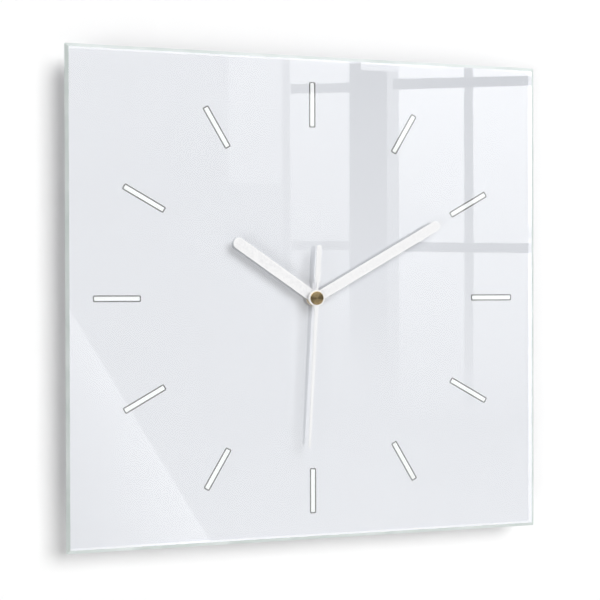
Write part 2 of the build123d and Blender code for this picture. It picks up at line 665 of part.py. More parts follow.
def front_case():
    tray = case_block(CASE_FRONT, CASE_SPLIT) - case_block(CASE_INSIDE, CASE_SPLIT, -CASE_WALL)
    tray += slab((-BAY_END, BAY_END), (CASE_INSIDE, CASE_SPLIT), (BAY_TOP, BAY_TOP + BAY_WALL))
    for at in PILLARS:
        tray += rod(PILLAR_RADIUS, depth(BRIDGE_START), CASE_INSIDE, at)
        tray += rod(PILLAR_PIN, depth(BRIDGE_START + BRIDGE + PILLAR_PIN_PROUD), CASE_INSIDE, at)
    for x in (-BOARD_POST_SPACING, 0.0, BOARD_POST_SPACING):
        tray += rod(BOARD_POST, depth(BOARD_START), CASE_INSIDE, (x, BOARD_Z))
    for at in (INTERMEDIATE_AXIS, THIRD_AXIS, FIFTH_AXIS, ROTOR_AXIS):
        tray += rod(PIVOT_BOSS, depth(PIVOT_BOSS_HEIGHT), CASE_INSIDE, at)
        tray -= rod(PIVOT + PIVOT_CLEARANCE, depth(PIVOT_BOSS_HEIGHT),
                    depth(PIVOT_BOSS_HEIGHT - PIVOT_DEPTH), at)
    tray -= rod(BUSHING_FLANGE_RADIUS, CASE_INSIDE, CASE_INSIDE - BUSHING_FLANGE)
    return tray - rod(BUSHING_RADIUS, CASE_INSIDE, CASE_FRONT)


def rear_case():
    cover = case_block(CASE_SPLIT, CASE_BACK)
    cover -= case_block(CASE_SPLIT, CASE_BACK - CASE_WALL, -CASE_WALL)
    lip_front = CASE_SPLIT - LIP_DEPTH
    lip = case_block(lip_front, CASE_SPLIT, -CASE_WALL - LIP_CLEARANCE)
    lip += case_block(CASE_SPLIT, CASE_BACK - CASE_WALL, -CASE_WALL)
    lip -= case_block(lip_front, CASE_BACK - CASE_WALL, -CASE_WALL - LIP_CLEARANCE - LIP)
    lip -= slab((-HALF_CASE, HALF_CASE), (lip_front, CASE_BACK), (-HALF_CASE, LIP_BOTTOM))
    cover += lip
    cover += slab((-BAY_END, BAY_END), (CASE_SPLIT, CASE_BACK), (BAY_TOP, BAY_TOP + BAY_WALL))
    cover -= slab((-BAY_END, BAY_END), (CASE_SPLIT, CASE_BACK),
                  (CELL_Z - CELL_RADIUS - CELL_CLEARANCE, BAY_TOP))
    return cover - rod(KNOB_HUB + KNOB_CLEARANCE, CASE_BACK, CASE_BACK - CASE_WALL,
                       INTERMEDIATE_AXIS)


def train_bridge():
    """Plate behind the gears; it stands on the pillars and holds the rear pivots."""
    width = BRIDGE_RIGHT - BRIDGE_LEFT
    height = BRIDGE_TOP - BRIDGE_BOTTOM
    middle = ((BRIDGE_LEFT + BRIDGE_RIGHT) / 2, (BRIDGE_TOP + BRIDGE_BOTTOM) / 2)
    front = depth(BRIDGE_START)
    rear = depth(BRIDGE_START + BRIDGE)
    plate = prism(RectangleRounded(width, height, BRIDGE_CORNER), rear, front, middle)
    for at in PILLARS:
        plate -= rod(PILLAR_PIN + PILLAR_PIN_CLEARANCE, rear, front, at)
    for at in (THIRD_AXIS, FIFTH_AXIS, ROTOR_AXIS):
        plate -= rod(PIVOT + PIVOT_CLEARANCE, rear, front, at)
    plate -= rod(SETTING_ARBOR + PIVOT_CLEARANCE, rear, front, INTERMEDIATE_AXIS)
    return plate - rod(ARBOR_RADIUS + PIVOT_CLEARANCE, rear, front)


# ---- Motor -------------------------------------------------------------------------

def coil_z_range():
    return ROTOR_AXIS[1] - COIL_LENGTH / 2, ROTOR_AXIS[1] + COIL_LENGTH / 2


def core_y_range():
    start = STATOR_START + STATOR
    return depth(start), depth(start + CORE)


def strip_between(start, end, width):
    """A flat strip with round ends from one point to another."""
    run = Vector(*end) - Vector(*start)
    turn = Vector(1, 0).get_signed_angle(run, Vector(0, 0, 1))
    middle = Vector(*start) + run * 0.5
    bar = Pos(middle.X, middle.Y) * Rot(0, 0, turn) * Rectangle(run.length, width)
    return bar + Pos(*start) * Circle(width / 2) + Pos(*end) * Circle(width / 2)


def stator():
    """Laminated pole plate: a ring round the rotor and two arms to the ends of the core."""
    low, high = coil_z_range()
    knee = COIL_X - COIL_FLANGE / 2 - ARM_WIDTH / 2 - ARM_GAP
    plate = Pos(*ROTOR_AXIS) * Circle(MAGNET_RADIUS + AIR_GAP + POLE)
    reach = COIL_X + CORE_WIDTH / 2
    for end in (low - CORE_END / 2, high + CORE_END / 2):
        foot = Pos((knee + reach) / 2, end) * Rectangle(reach - knee, CORE_END)
        plate = plate + strip_between(ROTOR_AXIS, (knee, end), ARM_WIDTH) + foot
    plate -= Pos(*ROTOR_AXIS) * Circle(MAGNET_RADIUS + AIR_GAP)
    return prism(plate, depth(STATOR_START + STATOR), depth(STATOR_START))


def coil_core():
    low, high = coil_z_range()
    return slab((COIL_X - CORE_WIDTH / 2, COIL_X + CORE_WIDTH / 2), core_y_range(),
                (low - CORE_END, high + CORE_END))


def bobbin_window():
    """Half width in x and in y of the bobbin's square tube, outside."""
    return (CORE_WIDTH / 2 + CORE_CLEARANCE + BOBBIN_WALL,
            CORE / 2 + CORE_CLEARANCE + BOBBIN_WALL)


def coil_bobbin():
    low, high = coil_z_range()
    front, rear = core_y_range()
    y = (front + rear) / 2
    half_x, half_y = bobbin_window()
    half = COIL_FLANGE / 2
    body = slab((COIL_X - half_x, COIL_X + half_x), (y - half_y, y + half_y), (low, high))
    for start in (low, high - COIL_FLANGE_THICKNESS):
        body += slab((COIL_X - half, COIL_X + half), (y - half, y + half),
                     (start, start + COIL_FLANGE_THICKNESS))
    gap = CORE_CLEARANCE
    body -= slab((COIL_X - CORE_WIDTH / 2 - gap, COIL_X + CORE_WIDTH / 2 + gap),
                 (front - gap, rear + gap), (low, high))
    return body


def coil_winding():
    low, high = coil_z_range()
    front, rear = core_y_range()
    half_x, half_y = bobbin_window()
    y = (front + rear) / 2
    length = high - low - 2 * COIL_FLANGE_THICKNESS
    wire = Pos(COIL_X, y, (low + high) / 2) * Cylinder(COIL_RADIUS, length)
    return wire - slab((COIL_X - half_x, COIL_X + half_x), (y - half_y, y + half_y), (low, high))


# ---- Electronics and battery -------------------------------------------------------

def circuit_board():
    half = INNER_HALF - BOARD_MARGIN
    board = slab((-half, half), (depth(BOARD_START), depth(BOARD_START + BOARD)),
                 (BOARD_BOTTOM, BOARD_TOP))
    return fillet(edges_along_y(board), CASE_CORNER - CASE_WALL)


def chip():
    rear = depth(BOARD_START + BOARD + CHIP)
    blob = rod(CHIP_RADIUS, rear, depth(BOARD_START + BOARD), (CHIP_X, BOARD_Z))
    return fillet(edges_at(blob, rear), CHIP_ROUNDING)


def quartz_crystal():
    y = depth(BOARD_START + BOARD) + CRYSTAL_RADIUS
    can = Cylinder(CRYSTAL_RADIUS, CRYSTAL_LENGTH, rotation=(0, 90, 0))
    return Pos(CRYSTAL_X, y, BOARD_Z) * can


def battery_cell():
    """AA cell lying across the bay, its positive nub to the right."""
    half = CELL_LENGTH / 2
    along = Plane(origin=(-half, CELL_Y, CELL_Z), x_dir=(0, 1, 0), z_dir=(1, 0, 0))
    can = extrude(along * Circle(CELL_RADIUS), amount=CELL_LENGTH)
    can = fillet(can.edges().filter_by(GeomType.CIRCLE), CELL_EDGE)
    tip = Plane(origin=(half, CELL_Y, CELL_Z), x_dir=(0, 1, 0), z_dir=(1, 0, 0))
    return can + extrude(tip * Circle(NUB_RADIUS), amount=NUB)


def contact_strip(side):
    """Strip up the case wall from the battery to the board, side being -1 or 1."""
    outer = side * (INNER_HALF - CONTACT_WALL_GAP)
    inner = outer - side * CONTACT
    front = depth(BOARD_START + BOARD)
    x_wall = sorted((inner, outer))
    strip = slab(x_wall, (front, front + CONTACT_WIDTH),
                 (CELL_Z - NUB_RADIUS, BOARD_TOP - TAB_INSET))
    tab = slab(sorted((outer, outer - side * TAB_LENGTH)), (front, front + CONTACT),
               (BOARD_TOP - TAB_INSET - TAB_LENGTH, BOARD_TOP - TAB_INSET))
    pad = slab(x_wall, (CELL_Y - CONTACT_WIDTH, CELL_Y + NUB_RADIUS),
               (CELL_Z - NUB_RADIUS, CELL_Z + NUB_RADIUS))
    return strip + tab + pad


def positive_contact():
    """Flat plate with a raised pad that the nub touches."""
    face = INNER_HALF - CONTACT_WALL_GAP - CONTACT
    nub_end = CELL_LENGTH / 2 + NUB
    pad_plane = Plane(origin=(nub_end, CELL_Y, CELL_Z), x_dir=(0, 1, 0), z_dir=(1, 0, 0))
    return contact_strip(1) + extrude(pad_plane * Circle(PAD_RADIUS), amount=face - nub_end)


def negative_contact():
    """The same strip with a bowed tongue that presses on the flat end of the cell."""
    face = -(INNER_HALF - CONTACT_WALL_GAP - CONTACT)
    cell_end = -CELL_LENGTH / 2
    low = CELL_Z - NUB_RADIUS
    high = CELL_Z + NUB_RADIUS
    foot = 2 * CONTACT
    bow = ThreePointArc((face, 0, low), (cell_end, 0, CELL_Z), (face, 0, high))
    back = ThreePointArc((face, 0, high - foot), (cell_end - CONTACT, 0, CELL_Z),
                         (face, 0, low + foot))
    feet = [Line((face, 0, high), (face, 0, high - foot)), Line((face, 0, low + foot), (face, 0, low))]
    tongue = extrude(make_face([bow, back, *feet]), amount=TONGUE_WIDTH / 2, dir=(0, 1, 0), both=True)
    return contact_strip(-1) + Pos(0, CELL_Y, 0) * tongue


# ---- Output ------------------------------------------------------------------------

def pieces():
    """Every piece of the clock by name."""
    found = {
        "glass_pane": glass_pane(),
        "dial_print": dial_print(),
        "marker_outlines": marker_outlines(),
        "marker_fills": marker_fills(),
        "spacer_adhesives": spacer_adhesives(),
        "hanger": hanger(),
        "rubber_washer": rubber_washer(),
        "nylon_washer": nylon_washer(),
        "threaded_bushing": threaded_bushing(),
        "ring_nut": ring_nut(),
        "front_case": front_case(),
        "rear_case": rear_case(),
        "train_bridge": train_bridge(),
        "circuit_board": circuit_board(),
        "chip": chip(),
        "quartz_crystal": quartz_crystal(),
        "stator": stator(),
        "coil_core": coil_core(),
        "coil_bobbin": coil_bobbin(),
        "coil_winding": coil_winding(),
        "positive_contact": positive_contact(),
        "negative_contact": negative_contact(),
        "battery_cell": battery_cell(),
        "rotor_magnet": rotor_magnet(),
        "rotor_pinion": rotor_pinion(),
        "fifth_wheel": fifth_wheel(),
        "seconds_wheel": seconds_wheel(),
        "seconds_arbor": seconds_arbor(),
        "third_wheel": third_wheel(),
        "centre_wheel": centre_wheel(),
        "minute_pipe": minute_pipe(),
        "intermediate_wheel": intermediate_wheel(),
        "setting_knob": setting_knob(),
        "hour_wheel": hour_wheel(),
        "hour_hand": hour_hand(),
        "minute_hand": minute_hand(),
        "second_hand": second_hand(),
        "second_hand_tube": second_hand_tube(),
        "second_hand_cap": second_hand_cap(),
    }
    for name, at in spacer_places().items():
        found["spacer_" + name] = wall_spacer(at)
    return found


def main():
    os.makedirs("parts", exist_ok=True)
    to_hanging_hole = Pos(0, -(HANGER_TAB_FRONT + HANGER / 2), -HANGING_HOLE_RISE)
    for name, shape in pieces().items():
        export_step(to_hanging_hole * shape, f"parts/{name}.step")


main()
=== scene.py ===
import math

import bpy
from mathutils import Matrix, Vector


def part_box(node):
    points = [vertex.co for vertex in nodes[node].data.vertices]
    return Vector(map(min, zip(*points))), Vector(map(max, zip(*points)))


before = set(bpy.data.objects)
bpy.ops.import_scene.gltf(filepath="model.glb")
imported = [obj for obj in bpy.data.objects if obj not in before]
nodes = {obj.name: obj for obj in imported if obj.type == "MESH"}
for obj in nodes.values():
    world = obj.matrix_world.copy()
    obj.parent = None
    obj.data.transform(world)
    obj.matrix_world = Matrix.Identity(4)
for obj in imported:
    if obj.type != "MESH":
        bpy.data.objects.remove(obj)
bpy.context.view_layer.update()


# ---- Glass pane --------------------------------------------------------------------
# A square sheet of toughened float glass, 4 mm thick. Its faces are clear and polished,
# and the bevel and edges are ground satin, which shows as a pale grey-green band. The
# light that falls on the print behind it passes straight through, slightly dimmed.

def new_tree(name):
    """A material with an empty node tree, and that tree."""
    material = bpy.data.materials.new(name)
    material.use_nodes = True
    tree = material.node_tree
    tree.nodes.clear()
    return material, tree


def add(tree, kind, links=None, **values):
    """A node with its properties set. links gives each input a value or another's output."""
    node = tree.nodes.new(kind)
    for key, value in values.items():
        setattr(node, key, value)
    for key, value in (links or {}).items():
        socket = node.inputs[key]
        if isinstance(value, bpy.types.NodeSocket):
            tree.links.new(value, socket)
        else:
            socket.default_value = value
    return node


def mixed(tree, factor, first, second):
    """A colour between first and second. A mix node has its colours at inputs 6 and 7."""
    return add(tree, "ShaderNodeMix", {0: factor, 6: first, 7: second}, data_type="RGBA").outputs[2]


def ranged(tree, value, low, high, to_low, to_high):
    """value taken from low..high to to_low..to_high, and held there beyond."""
    return add(tree, "ShaderNodeMapRange", {
        "Value": value, "From Min": low, "From Max": high,
        "To Min": to_low, "To Max": to_high}).outputs[0]


def reckoned(tree, what, first, second=0.0):
    """The outcome of one sum, such as ADD or MAXIMUM, on two values."""
    return add(tree, "ShaderNodeMath", {0: first, 1: second}, operation=what).outputs[0]


def principled(tree, links):
    """The surface shader of a material, wired to its output."""
    shader = add(tree, "ShaderNodeBsdfPrincipled", links)
    add(tree, "ShaderNodeOutputMaterial", {"Surface": shader.outputs[0]})


def new_group(name, inputs, outputs):
    """A shader node group with its interface made, and its input and output nodes."""
    group = bpy.data.node_groups.new(name, "ShaderNodeTree")
    for label, value in inputs.items():
        kind = "NodeSocketColor" if isinstance(value, tuple) else "NodeSocketFloat"
        socket = group.interface.new_socket(label, in_out="INPUT", socket_type=kind)
        socket.default_value = value
    for label, kind in outputs.items():
        group.interface.new_socket(label, in_out="OUTPUT", socket_type=kind)
    return group, group.nodes.new("NodeGroupInput"), group.nodes.new("NodeGroupOutput")


def placed(tree, group, values):
    """A node group set into a material, with the values it has there."""
    return add(tree, "ShaderNodeGroup", values, node_tree=group)


def object_point(tree):
    """The place of a surface point in the clock's own frame, in metres."""
    return add(tree, "ShaderNodeTexCoord").outputs["Object"]


def noise(tree, size, detail=4.0, roughness=0.55):
    """Noise whose features are about size metres across."""
    return add(tree, "ShaderNodeTexNoise", {
        "Vector": object_point(tree), "Scale": 1.0 / size, "Detail": detail,
        "Roughness": roughness}).outputs[0]


def make_handling_marks():
    """Faint wiping marks: a roughness that wanders about a level."""
    group, given, made = new_group("handling_marks", {"Level": 0.3, "Spread": 0.05, "Size": 0.03},
                                   {"Roughness": "NodeSocketFloat"})
    scale = reckoned(group, "DIVIDE", 1.0, given.outputs["Size"])
    point = object_point(group)
    broad = add(group, "ShaderNodeTexNoise", {"Vector": point, "Scale": scale, "Detail": 5.0,
                                              "Roughness": 0.6, "Distortion": 0.6})
    fine_scale = reckoned(group, "MULTIPLY", scale, 14.0)
    fine = add(group, "ShaderNodeTexNoise", {"Vector": point, "Scale": fine_scale, "Detail": 3.0,
                                             "Roughness": 0.7})
    both = reckoned(group, "ADD", reckoned(group, "MULTIPLY", broad.outputs[0], 0.7),
                    reckoned(group, "MULTIPLY", fine.outputs[0], 0.3))
    swing = reckoned(group, "MULTIPLY", reckoned(group, "SUBTRACT", both, 0.5),
                     reckoned(group, "MULTIPLY", given.outputs["Spread"], 4.0))
    level = reckoned(group, "ADD", given.outputs["Level"], swing)
    clear = add(group, "ShaderNodeClamp", {"Value": level, "Min": 0.0, "Max": 1.0})
    group.links.new(clear.outputs[0], made.inputs["Roughness"])
    return group


def lets_light_by(tree):
    """1 for the rays that carry light to what is behind the glass, and 0 for sight."""
    path = add(tree, "ShaderNodeLightPath")
    return reckoned(tree, "MAXIMUM", path.outputs["Is Shadow Ray"], path.outputs["Is Diffuse Ray"])


handling_marks = make_handling_marks()

GLASS_BEND = 1.5             # how strongly glass bends light
GLASS_TINT = (0.978, 0.985, 0.983, 1.0)
LIGHT_PASSED = (0.94, 0.945, 0.944, 1.0)
glass, tree = new_tree("clear_glass")
marks = placed(tree, handling_marks, {"Level": 0.016, "Spread": 0.005, "Size": 0.05})
ripple = noise(tree, 0.09, 2.0, 0.4)
glass_bump = add(tree, "ShaderNodeBump", {"Height": ripple, "Strength": 0.02, "Distance": 0.001})
clear = add(tree, "ShaderNodeBsdfPrincipled", {
    "Base Color": GLASS_TINT, "Roughness": marks.outputs["Roughness"], "IOR": GLASS_BEND,
    "Transmission Weight": 1.0, "Normal": glass_bump.outputs[0]})
passing = add(tree, "ShaderNodeBsdfTransparent", {"Color": LIGHT_PASSED})
both = add(tree, "ShaderNodeMixShader", {0: lets_light_by(tree), 1: clear.outputs[0],
                                         2: passing.outputs[0]})
add(tree, "ShaderNodeOutputMaterial", {"Surface": both.outputs[0]})

GROUND_EDGE = (0.68, 0.745, 0.725, 1.0)
GROUND_EDGE_PALE = (0.80, 0.85, 0.84, 1.0)
ground_edge, tree = new_tree("ground_glass_edge")
grinding = noise(tree, 0.0012, 3.0, 0.6)
patchy = ranged(tree, noise(tree, 0.02, 3.0), 0.35, 0.65, 0.0, 1.0)
stone_lines = add(tree, "ShaderNodeBump", {"Height": grinding, "Strength": 0.25,
                                           "Distance": 0.0001})
satin = add(tree, "ShaderNodeBsdfPrincipled", {
    "Base Color": mixed(tree, patchy, GROUND_EDGE, GROUND_EDGE_PALE),
    "Roughness": ranged(tree, grinding, 0.3, 0.7, 0.32, 0.46), "IOR": GLASS_BEND,
    "Normal": stone_lines.outputs[0]})
passing = add(tree, "ShaderNodeBsdfTransparent", {"Color": LIGHT_PASSED})
from_inside = add(tree, "ShaderNodeNewGeometry").outputs["Backfacing"]
seen_through = reckoned(tree, "MAXIMUM", lets_light_by(tree), from_inside)
both = add(tree, "ShaderNodeMixShader", {0: seen_through, 1: satin.outputs[0],
                                         2: passing.outputs[0]})
add(tree, "ShaderNodeOutputMaterial", {"Surface": both.outputs[0]})


def paint(name, *materials):
    """Gives a CAD node its materials. The first shows on all faces, unless a face says."""
    slots = nodes[name].data.materials
    slots.clear()
    for material in materials:
        slots.append(material)


paint("glass_pane", glass, ground_edge)
FLAT_FACE = 0.98             # how squarely a face of the pane looks forwards or back
EDGE_ZONE = 0.12             # from the middle of the pane to where its ground edges are
middle = sum(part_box("glass_pane"), Vector()) / 2
for face in nodes["glass_pane"].data.polygons:
    out = face.center - middle
    at_edge = max(abs(out.x), abs(out.z)) > EDGE_ZONE
    face.material_index = 1 if at_edge and abs(face.normal.y) < FLAT_FACE else 0


# ---- Print on the back of the glass ------------------------------------------------
# White enamel screened on the back of the pane, with twelve bars left open in it. Each
# bar has a thin dark grey line and a brighter white filling, printed in turn.

INK_ROUGHNESS = 0.5


def printed_ink(name, colour, shade):
    """Screened enamel: even, with the faintest cloudiness and a fine mesh in it."""
    material, tree = new_tree(name)
    cloud = ranged(tree, noise(tree, 0.04, 4.0), 0.3, 0.7, 0.0, 1.0)
    mesh_print = noise(tree, 0.0006, 2.0)
    marks = placed(tree, handling_marks, {"Level": INK_ROUGHNESS, "Spread": 0.03, "Size": 0.02})
    relief = add(tree, "ShaderNodeBump", {"Height": mesh_print, "Strength": 0.05,
                                          "Distance": 0.00005})
    principled(tree, {"Base Color": mixed(tree, cloud, colour, shade),
                      "Roughness": marks.outputs["Roughness"], "Specular IOR Level": 0.1,
                      "Normal": relief.outputs[0]})
    return material


for node, ink, colour, shade in (
        ("dial_print", "white_enamel", (0.712, 0.719, 0.764, 1), (0.704, 0.711, 0.756, 1)),
        ("marker_outlines", "grey_line_ink", (0.02, 0.02, 0.022, 1), (0.03, 0.03, 0.032, 1)),
        ("marker_fills", "bright_filling", (0.95, 0.955, 0.96, 1), (0.93, 0.935, 0.945, 1))):
    paint(node, printed_ink(ink, colour, shade))


# ---- Foam spacers and their tape ---------------------------------------------------
# Four round blocks of dense dark foam hold the pane off the wall. Each is cut from a
# sheet and sticks to the back of the print with a disc of double-sided tape.

def dense_foam():
    """Closed-cell foam: pores darkened by painted shade, slightly cloudy, with a faint bloom."""
    material, tree = new_tree("dense_foam")
    cells = add(tree, "ShaderNodeTexVoronoi", {"Vector": object_point(tree), "Scale": 1400.0})
    pores_and_painted_shade = ranged(tree, cells.outputs["Distance"], 0.1, 0.7, 0.0, 1.0)
    patches = ranged(tree, noise(tree, 0.006, 4.0), 0.35, 0.65, 0.0, 1.0)
    base = mixed(tree, patches, (0.030, 0.030, 0.033, 1), (0.048, 0.048, 0.051, 1))
    # The near-black in the pores is painted shade in the open cells' hollows.
    colour = mixed(tree, pores_and_painted_shade, (0.014, 0.014, 0.015, 1), base)
    relief = add(tree, "ShaderNodeBump", {"Height": pores_and_painted_shade, "Strength": 0.5, "Distance": 0.0003})
    principled(tree, {"Base Color": colour, "Roughness": ranged(tree, pores_and_painted_shade, 0, 1, 0.95, 0.78),
                      "Sheen Weight": 0.12, "Normal": relief.outputs[0]})
    return material


foam = dense_foam()
for corner in ("upper_left", "upper_right", "lower_left", "lower_right"):
    paint("spacer_" + corner, foam)

tape, tree = new_tree("tape_edge")
fibres = noise(tree, 0.0009, 4.0, 0.7)
relief = add(tree, "ShaderNodeBump", {"Height": fibres, "Strength": 0.3, "Distance": 0.0001})
backing = mixed(tree, fibres, (0.62, 0.61, 0.57, 1), (0.78, 0.77, 0.73, 1))
principled(tree, {"Base Color": backing, "Roughness": ranged(tree, fibres, 0.3, 0.7, 0.75, 0.9),
                  "Normal": relief.outputs[0]})
paint("spacer_adhesives", tape)


# ---- Hanger ------------------------------------------------------------------------
# A strip of zinc-plated steel, stamped and bent, with the hole that hangs on the wall
# screw. It's held between the movement and the pane by the nut.

EDGE_BEGINS = 0.004          # how far the rounded normal leans from the face's own
EDGE_FULL = 0.12


def make_edge_wear():
    """Where edges are rubbed: a mask along outer edges, broken up by noise."""
    group, given, made = new_group("edge_wear", {"Width": 0.0005, "Amount": 1.0, "Breaks": 0.002},
                                   {"Mask": "NodeSocketFloat"})
    soft = add(group, "ShaderNodeBevel", {"Radius": given.outputs["Width"]}, samples=8)
    flat = add(group, "ShaderNodeNewGeometry")
    dot = add(group, "ShaderNodeVectorMath", {0: soft.outputs[0], 1: flat.outputs["Normal"]},
              operation="DOT_PRODUCT")
    turn = reckoned(group, "SUBTRACT", 1.0, dot.outputs["Value"])
    edge = ranged(group, turn, EDGE_BEGINS, EDGE_FULL, 0.0, 1.0)
    scale = reckoned(group, "DIVIDE", 1.0, given.outputs["Breaks"])
    broken = add(group, "ShaderNodeTexNoise", {"Vector": object_point(group), "Scale": scale,
                                               "Detail": 4.0, "Roughness": 0.65})
    kept = ranged(group, broken.outputs[0], 0.35, 0.6, 0.25, 1.0)
    mask = reckoned(group, "MULTIPLY", reckoned(group, "MULTIPLY", edge, kept),
                    given.outputs["Amount"])
    group.links.new(mask, made.inputs["Mask"])
    return group


def make_drawn_lines():
    """Fine parallel lines left by rolling or brushing, along the up-and-down direction."""
    group, given, made = new_group("drawn_lines", {"Pitch": 0.0002, "Length": 0.02},
                                   {"Height": "NodeSocketFloat"})
    across = reckoned(group, "DIVIDE", 1.0, given.outputs["Pitch"])
    along = reckoned(group, "DIVIDE", 1.0, given.outputs["Length"])
    scale = add(group, "ShaderNodeCombineXYZ", {"X": across, "Y": across, "Z": along})
    stretched = add(group, "ShaderNodeVectorMath", {0: object_point(group), 1: scale.outputs[0]},
                    operation="MULTIPLY")
    lines = add(group, "ShaderNodeTexNoise", {"Vector": stretched.outputs[0], "Scale": 1.0,
                                              "Detail": 3.0, "Roughness": 0.6})
    group.links.new(lines.outputs[0], made.inputs["Height"])
    return group


edge_wear = make_edge_wear()
drawn_lines = make_drawn_lines()


def sheet_metal(name, colour, dark, bright, rough):
    """Rolled and plated sheet: faint lines along it, cloudy plating, bright rubbed edges."""
    material, tree = new_tree(name)
    lines = placed(tree, drawn_lines, {"Pitch": 0.00015, "Length": 0.012}).outputs[0]
    clouds = ranged(tree, noise(tree, 0.008, 5.0, 0.65), 0.35, 0.65, 0.0, 1.0)
    wear = placed(tree, edge_wear, {"Width": 0.0004, "Amount": 0.8, "Breaks": 0.003}).outputs[0]
    plated = mixed(tree, clouds, dark, colour)
    marks = placed(tree, handling_marks, {"Level": rough, "Spread": 0.07, "Size": 0.01})
    smooth = reckoned(tree, "SUBTRACT", marks.outputs["Roughness"],
                      reckoned(tree, "MULTIPLY", wear, 0.12))
    relief = add(tree, "ShaderNodeBump", {"Height": lines, "Strength": 0.15, "Distance": 0.00005})
    principled(tree, {"Base Color": mixed(tree, wear, plated, bright), "Metallic": 1.0,
                      "Roughness": smooth, "Normal": relief.outputs[0]})
    return material


paint("hanger", sheet_metal("zinc_plate", (0.62, 0.64, 0.66, 1), (0.46, 0.48, 0.50, 1),
                            (0.82, 0.83, 0.84, 1), 0.36))


# ---- Washers, bushing and ring nut -------------------------------------------------
# The movement's threaded brass bushing passes through hanger, rubber washer and pane.
# A nylon washer and a slim slotted brass nut clamp them from the front.

rubber, tree = new_tree("soft_rubber")
bloom = ranged(tree, noise(tree, 0.004, 5.0, 0.7), 0.4, 0.7, 0.0, 1.0)
fine = noise(tree, 0.0003, 2.0)
relief = add(tree, "ShaderNodeBump", {"Height": fine, "Strength": 0.2, "Distance": 0.00005})
bloomed = mixed(tree, bloom, (0.012, 0.012, 0.013, 1), (0.04, 0.04, 0.041, 1))
principled(tree, {"Base Color": bloomed, "Roughness": ranged(tree, bloom, 0, 1, 0.62, 0.85),
                  "Normal": relief.outputs[0]})
paint("rubber_washer", rubber)


def make_spark_texture():
    """The pitted skin of a spark-eroded mould, as a fine height."""
    group, given, made = new_group("spark_texture", {"Pit": 0.0004}, {"Height": "NodeSocketFloat"})
    scale = reckoned(group, "DIVIDE", 1.0, given.outputs["Pit"])
    point = object_point(group)
    cells = add(group, "ShaderNodeTexVoronoi", {"Vector": point, "Scale": scale},
                feature="SMOOTH_F1")
    grain = add(group, "ShaderNodeTexNoise", {"Vector": point, "Scale": scale, "Detail": 3.0})
    height = reckoned(group, "ADD", reckoned(group, "MULTIPLY", cells.outputs["Distance"], 0.6),
                      reckoned(group, "MULTIPLY", grain.outputs[0], 0.4))
    group.links.new(height, made.inputs["Height"])
    return group


spark_texture = make_spark_texture()


def moulded(name, colour, pale, rough, pit=0.0004, depth=0.35, clear=0.0, scatter=0.0):
    """Moulded plastic: mould texture, faint flow marks, edges rubbed smoother and paler."""
    material, tree = new_tree(name)
    skin = placed(tree, spark_texture, {"Pit": pit})
    flow = ranged(tree, noise(tree, 0.012, 4.0, 0.6), 0.3, 0.7, 0.0, 0.35)
    wear = placed(tree, edge_wear, {"Width": 0.0004, "Amount": 0.7, "Breaks": 0.0025}).outputs[0]
    base = mixed(tree, flow, colour, pale)
    marks = placed(tree, handling_marks, {"Level": rough, "Spread": 0.06, "Size": 0.015})
    smooth = reckoned(tree, "SUBTRACT", marks.outputs["Roughness"],
                      reckoned(tree, "MULTIPLY", wear, 0.15))
    relief = add(tree, "ShaderNodeBump", {"Height": skin.outputs["Height"], "Strength": depth,
                                          "Distance": 0.0001})
    principled(tree, {"Base Color": mixed(tree, wear, base, pale), "Roughness": smooth,
                      "Coat Weight": clear, "Subsurface Weight": scatter,
                      "Subsurface Scale": 0.0008, "Normal": relief.outputs[0]})
    return material


paint("nylon_washer", moulded("natural_nylon", (0.74, 0.73, 0.69, 1), (0.86, 0.85, 0.82, 1), 0.42,
                              pit=0.0006, depth=0.1, scatter=0.15))


def make_lathe_rings():
    """Turning marks: fine rings about an axis that runs front to back at a height."""
    group, given, made = new_group("lathe_rings", {"Axis Z": 0.0, "Pitch": 0.0001},
                                   {"Height": "NodeSocketFloat"})
    centre = add(group, "ShaderNodeCombineXYZ", {"Z": given.outputs["Axis Z"]})
    away = add(group, "ShaderNodeVectorMath", {0: object_point(group), 1: centre.outputs[0]},
               operation="SUBTRACT")
    parts = add(group, "ShaderNodeSeparateXYZ", {0: away.outputs[0]})
    flat = add(group, "ShaderNodeCombineXYZ", {"X": parts.outputs[0], "Z": parts.outputs[2]})
    radius = add(group, "ShaderNodeVectorMath", {0: flat.outputs[0]}, operation="LENGTH")
    step = reckoned(group, "DIVIDE", radius.outputs["Value"], given.outputs["Pitch"])
    depth = reckoned(group, "DIVIDE", parts.outputs[1], given.outputs["Pitch"])
    line = add(group, "ShaderNodeCombineXYZ", {"X": step, "Y": depth})
    rings = add(group, "ShaderNodeTexNoise", {"Vector": line.outputs[0], "Scale": 1.0,
                                              "Detail": 3.0, "Roughness": 0.6})
    group.links.new(rings.outputs[0], made.inputs["Height"])
    return group


lathe_rings = make_lathe_rings()
HAND_AXIS_Z = -0.04          # the hands' axis, below the hanging hole
BRASS = (0.80, 0.62, 0.34, 1)
BRASS_DULL = (0.42, 0.28, 0.13, 1)
BRASS_BRIGHT = (0.95, 0.78, 0.42, 1)
QUARTER_TURN = 0.25          # turns the brushed gloss to lie along the rings


